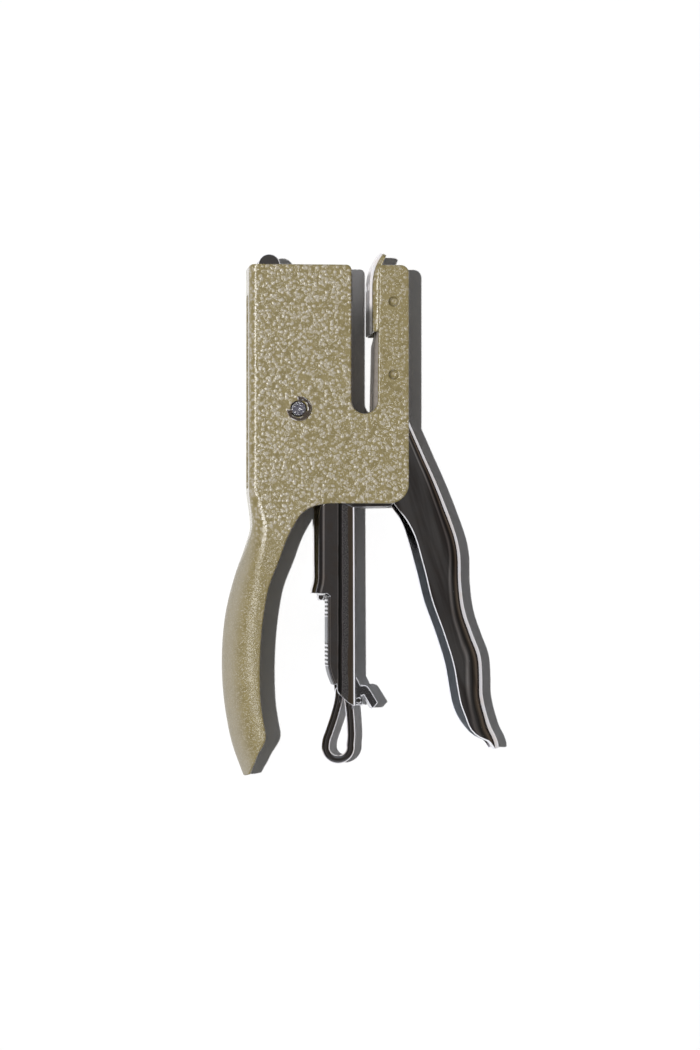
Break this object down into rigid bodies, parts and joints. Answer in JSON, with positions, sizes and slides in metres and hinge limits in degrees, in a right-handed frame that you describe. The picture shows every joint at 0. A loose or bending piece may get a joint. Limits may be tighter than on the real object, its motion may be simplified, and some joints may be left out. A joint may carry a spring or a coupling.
{
  "type": "plier stapler",
  "caption": "Hand-held plier stapler: folded enamelled body with fixed handle, throat and anvil arm, squeezed lever, swinging magazine and draw-out loader.",
  "frame": {"origin": "middle of the outline, on the plane the tool lies on", "axes": "+Y along the tool towards the nose, +X towards the anvil, +Z across the thickness, away from the plane it lies on"},
  "size_m": [0.0868, 0.1648, 0.0198],
  "materials": {
    "enamel_khaki": "hammered khaki stove enamel, glossy",
    "dark_chrome": "dark nickel-chrome plating, polished",
    "magazine_chrome": "dark nickel-chrome plating, drawn",
    "loop_chrome": "dark nickel-chrome plating on formed wire and strip",
    "anvil_chrome": "bright chrome",
    "clip_steel": "browned spring steel",
    "spring_steel": "drawn spring wire",
    "bright_steel": "polished steel",
    "plain_steel": "plain turned steel"
  },
  "bodies": {
    "root": {"body_shell": "enamel_khaki", "pivot_pin": "plain_steel", "retaining_clip": "clip_steel", "pivot_bush": "plain_steel", "anvil_carrier": "enamel_khaki", "anvil_plate": "anvil_chrome", "arm_channel": "bright_steel", "anvil_rivet_upper": "enamel_khaki", "anvil_rivet_lower": "enamel_khaki"},
    "lever": {"lever": "dark_chrome", "driver_pin": "plain_steel", "return_spring": "spring_steel"},
    "magazine": {"magazine_case": "magazine_chrome", "case_stop": "bright_steel", "nose_plate": "plain_steel", "core_rail": "bright_steel"},
    "driver": {"driver_carrier": "plain_steel", "driver_blade": "bright_steel"},
    "loader": {"end_plug": "plain_steel", "loader_rod": "bright_steel", "pull_loop": "loop_chrome", "pusher_spring": "spring_steel", "catch_pin": "bright_steel"},
    "pusher": {"pusher": "plain_steel"},
    "catch": {"loader_catch": "loop_chrome"}
  },
  "joints": [
    {"name": "lever_squeeze", "type": "hinge", "parent": "root", "child": "lever", "pos_m": [-0.01982, 0.03298, 0.009], "axis": [0, 0, -1], "range_deg": [0, 18], "stiffness_Nm_per_rad": 0.8, "springref_deg": -28.65},
    {"name": "magazine_swing", "type": "hinge", "parent": "root", "child": "magazine", "pos_m": [-0.01982, 0.03298, 0.009], "axis": [0, 0, -1], "range_deg": [0, 7]},
    {"name": "driver_slide", "type": "slide", "parent": "magazine", "child": "driver", "axis": [1, 0, 0], "range_m": [0, 0.0075]},
    {"name": "loader_slide", "type": "slide", "parent": "magazine", "child": "loader", "axis": [0, -1, 0], "range_m": [0, 0.045]},
    {"name": "pusher_slide", "type": "slide", "parent": "loader", "child": "pusher", "axis": [0, 1, 0], "range_m": [0, 0.0535]},
    {"name": "catch_press", "type": "hinge", "parent": "loader", "child": "catch", "pos_m": [-0.00042, -0.05872, 0.009], "axis": [0, 0, -1], "range_deg": [0, 12], "stiffness_Nm_per_rad": 0.05}
  ],
  "couplings": [
    {"joint": "magazine_swing", "follows": "lever_squeeze", "ratio": 0.38},
    {"joint": "driver_slide", "follows": "lever_squeeze", "m_per_rad": 0.0237}
  ]
}
